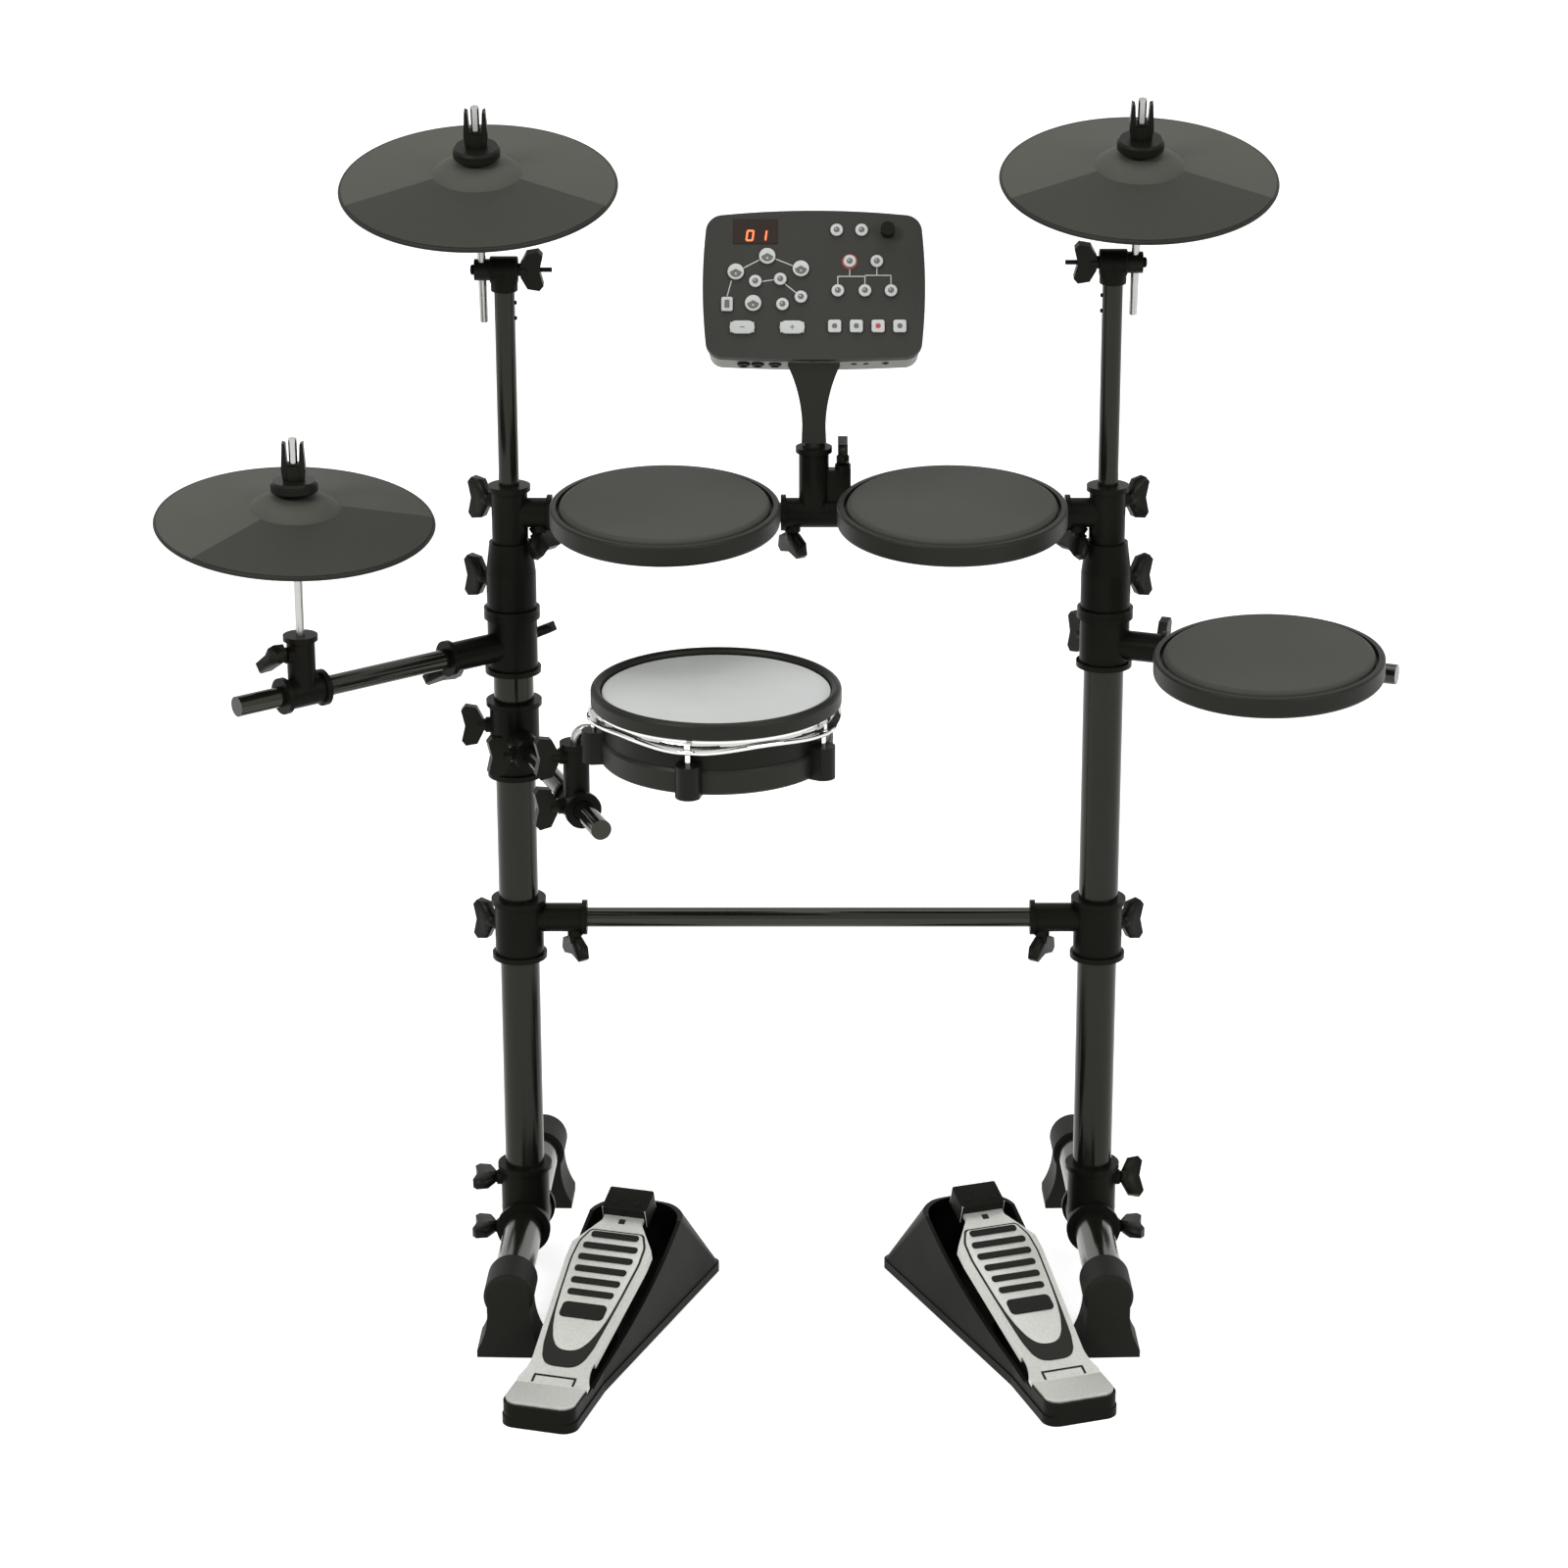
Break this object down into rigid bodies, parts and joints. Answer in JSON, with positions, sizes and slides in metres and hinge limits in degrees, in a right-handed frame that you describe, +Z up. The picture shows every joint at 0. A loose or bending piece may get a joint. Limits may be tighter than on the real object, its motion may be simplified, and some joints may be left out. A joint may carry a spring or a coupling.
{
  "type": "electronic drum kit",
  "caption": "Electronic drum kit: a tubular rack carries rubber cymbals and tom pads, a mesh snare and a sound module, with hinged foot pedals standing in front.",
  "frame": {"origin": "floor point under the middle of the whole kit's bounding box", "axes": "+X to the drummer's right, +Y away from the drummer, +Z up"},
  "size_m": [1.1399, 0.5398, 1.1867],
  "materials": {
    "black_tube": "satin black",
    "clamp": "moulded, fine grain",
    "wing_bolt": "moulded grip over a steel shank",
    "steel_rod": "bright",
    "cymbal_rubber": "soft matt",
    "pad_rubber": "matt",
    "pad_shell": "smooth",
    "foot_rubber": "matt",
    "drum_shell": "smooth",
    "mesh": "woven mesh",
    "chrome": "polished",
    "rim_rubber": "matt",
    "panel": "fine grain",
    "rear_case": "fine grain",
    "display": "tinted window",
    "key": "matt",
    "knob": "fine grain",
    "board": "laminate",
    "pedal_base": "moulded",
    "pedal_plate": "satin"
  },
  "bodies": {
    "rack": {"columns": "black_tube", "leg_tubes": "black_tube", "leg_clamps": "clamp", "leg_feet": "foot_rubber", "lower_crossbar": "black_tube", "upper_crossbar": "black_tube", "crossbar_tees": "clamp", "top_collars": "clamp", "top_tees": "clamp", "module_clamp": "clamp", "rack_wing_bolts": "wing_bolt", "pedal_bases": "pedal_base", "pedal_heel_plates": "pedal_plate"},
    "crash_stand": {"crash_tube": "black_tube", "crash_rod_block": "clamp"},
    "crash_tilter": {"crash_fittings": "wing_bolt", "crash_rod": "steel_rod"},
    "crash_cymbal": {"crash_cymbal": "cymbal_rubber"},
    "ride_stand": {"ride_tube": "black_tube", "ride_rod_block": "clamp"},
    "ride_tilter": {"ride_fittings": "wing_bolt", "ride_rod": "steel_rod"},
    "ride_cymbal": {"ride_cymbal": "cymbal_rubber"},
    "hihat_arm": {"hihat_arm_clamp": "clamp", "hihat_arm": "black_tube", "hihat_holder": "clamp", "hihat_wing_bolts": "wing_bolt"},
    "hihat_rod": {"hihat_rod": "steel_rod", "hihat_fittings": "wing_bolt"},
    "hihat_cymbal": {"hihat_cymbal": "cymbal_rubber"},
    "left_tom": {"left_tom_shell": "pad_shell", "left_tom_pad": "pad_rubber"},
    "right_tom": {"right_tom_shell": "pad_shell", "right_tom_pad": "pad_rubber"},
    "floor_tom_arm": {"floor_tom_clamp": "clamp", "floor_tom_bar": "black_tube", "floor_tom_wing_bolts": "wing_bolt"},
    "floor_tom": {"floor_tom_shell": "pad_shell", "floor_tom_pad": "pad_rubber"},
    "snare_arm": {"snare_arm_clamp": "clamp", "snare_arm": "black_tube", "snare_arm_wing_bolts": "wing_bolt"},
    "snare_holder": {"snare_holder": "clamp", "snare_holder_wing_bolts": "wing_bolt"},
    "snare": {"snare_post": "steel_rod", "snare_shell": "drum_shell", "snare_head": "mesh", "snare_hoop": "chrome", "snare_rim": "rim_rubber", "snare_tension_rods": "chrome"},
    "module": {"module_neck": "clamp", "module_front": "panel", "module_rear": "rear_case", "module_display": "display", "module_board": "board"},
    "round_keys": {"module_round_keys": "key"},
    "flat_keys": {"module_flat_keys": "key"},
    "volume_knob": {"module_knob": "knob"},
    "kick_footboard": {"kick_footboard": "pedal_plate"},
    "hihat_footboard": {"hihat_footboard": "pedal_plate"}
  },
  "joints": [
    {"name": "crash_height", "type": "slide", "parent": "rack", "child": "crash_stand", "axis": [0, 0, 1], "range_m": [-0.04, 0.03]},
    {"name": "crash_tilt", "type": "hinge", "parent": "crash_stand", "child": "crash_tilter", "pos_m": [-0.2583, 0.0689, 1.02], "axis": [1, 0, 0], "range_deg": [-25, 25]},
    {"name": "crash_rock", "type": "hinge", "parent": "crash_tilter", "child": "crash_cymbal", "pos_m": [-0.2785, 0.04173, 1.12504], "axis": [1, 0, 0], "range_deg": [-6, 6], "stiffness_Nm_per_rad": 1.5},
    {"name": "ride_height", "type": "slide", "parent": "rack", "child": "ride_stand", "axis": [0, 0, 1], "range_m": [-0.04, 0.03]},
    {"name": "ride_tilt", "type": "hinge", "parent": "ride_stand", "child": "ride_tilter", "pos_m": [0.3017, 0.0689, 1.027], "axis": [1, 0, 0], "range_deg": [-25, 25]},
    {"name": "ride_rock", "type": "hinge", "parent": "ride_tilter", "child": "ride_cymbal", "pos_m": [0.3219, 0.04173, 1.13204], "axis": [1, 0, 0], "range_deg": [-6, 6], "stiffness_Nm_per_rad": 1.5},
    {"name": "hihat_swing", "type": "hinge", "parent": "rack", "child": "hihat_arm", "pos_m": [-0.2583, 0.0689, 0.659], "axis": [0, 0, 1], "range_deg": [-25, 25]},
    {"name": "hihat_height", "type": "slide", "parent": "hihat_arm", "child": "hihat_rod", "axis": [0, 0, 1], "range_m": [-0.008, 0.02]},
    {"name": "hihat_rock", "type": "hinge", "parent": "hihat_rod", "child": "hihat_cymbal", "pos_m": [-0.44191, -0.07455, 0.8435], "axis": [1, 0, 0], "range_deg": [-8, 2], "stiffness_Nm_per_rad": 1.5},
    {"name": "left_tom_tilt", "type": "hinge", "parent": "rack", "child": "left_tom", "pos_m": [-0.1103, 0.0689, 0.788], "axis": [1, 0, 0], "range_deg": [-15, 20]},
    {"name": "right_tom_tilt", "type": "hinge", "parent": "rack", "child": "right_tom", "pos_m": [0.1537, 0.0689, 0.788], "axis": [1, 0, 0], "range_deg": [-15, 20]},
    {"name": "floor_tom_swing", "type": "hinge", "parent": "rack", "child": "floor_tom_arm", "pos_m": [0.3017, 0.0689, 0.66], "axis": [0, 0, 1], "range_deg": [-20, 20]},
    {"name": "floor_tom_tilt", "type": "hinge", "parent": "floor_tom_arm", "child": "floor_tom", "pos_m": [0.3017, 0.0689, 0.66], "axis": [0.9397, -0.342, 0], "range_deg": [-15, 15]},
    {"name": "snare_swing", "type": "hinge", "parent": "rack", "child": "snare_arm", "pos_m": [-0.2583, 0.0689, 0.566], "axis": [0, 0, 1], "range_deg": [-20, 20]},
    {"name": "snare_tilt", "type": "hinge", "parent": "snare_arm", "child": "snare_holder", "pos_m": [-0.2583, 0.0689, 0.566], "axis": [0.342, -0.9397, 0], "range_deg": [-12, 12]},
    {"name": "snare_turn", "type": "hinge", "parent": "snare_holder", "child": "snare", "pos_m": [-0.1899, -0.11904, 0.614], "axis": [0, 0, 1], "range_deg": [-18, 18]},
    {"name": "module_swivel", "type": "hinge", "parent": "rack", "child": "module", "pos_m": [0.0267, 0.0689, 0.83], "axis": [0, 0, 1], "range_deg": [-40, 40]},
    {"name": "round_keys_press", "type": "slide", "parent": "module", "child": "round_keys", "axis": [0, -0.866, 0.5], "range_m": [-0.0015, 0], "stiffness_N_per_m": 400, "springref_m": 0.001},
    {"name": "flat_keys_press", "type": "slide", "parent": "module", "child": "flat_keys", "axis": [0, -0.866, 0.5], "range_m": [-0.0015, 0], "stiffness_N_per_m": 400, "springref_m": 0.001},
    {"name": "volume_turn", "type": "hinge", "parent": "module", "child": "volume_knob", "pos_m": [0.0947, 0.0989, 1.04892], "axis": [0, -0.866, 0.5], "range_deg": [-140, 140]},
    {"name": "kick_press", "type": "hinge", "parent": "rack", "child": "kick_footboard", "pos_m": [0.26164, -0.19888, 0.0175], "axis": [0.9455, 0.3256, 0], "range_deg": [-7, 0], "stiffness_Nm_per_rad": 8, "springref_deg": 8.59},
    {"name": "hihat_press", "type": "hinge", "parent": "rack", "child": "hihat_footboard", "pos_m": [-0.21687, -0.21408, 0.0175], "axis": [0.9613, -0.2756, 0], "range_deg": [-7, 0], "stiffness_Nm_per_rad": 8, "springref_deg": 8.59}
  ]
}
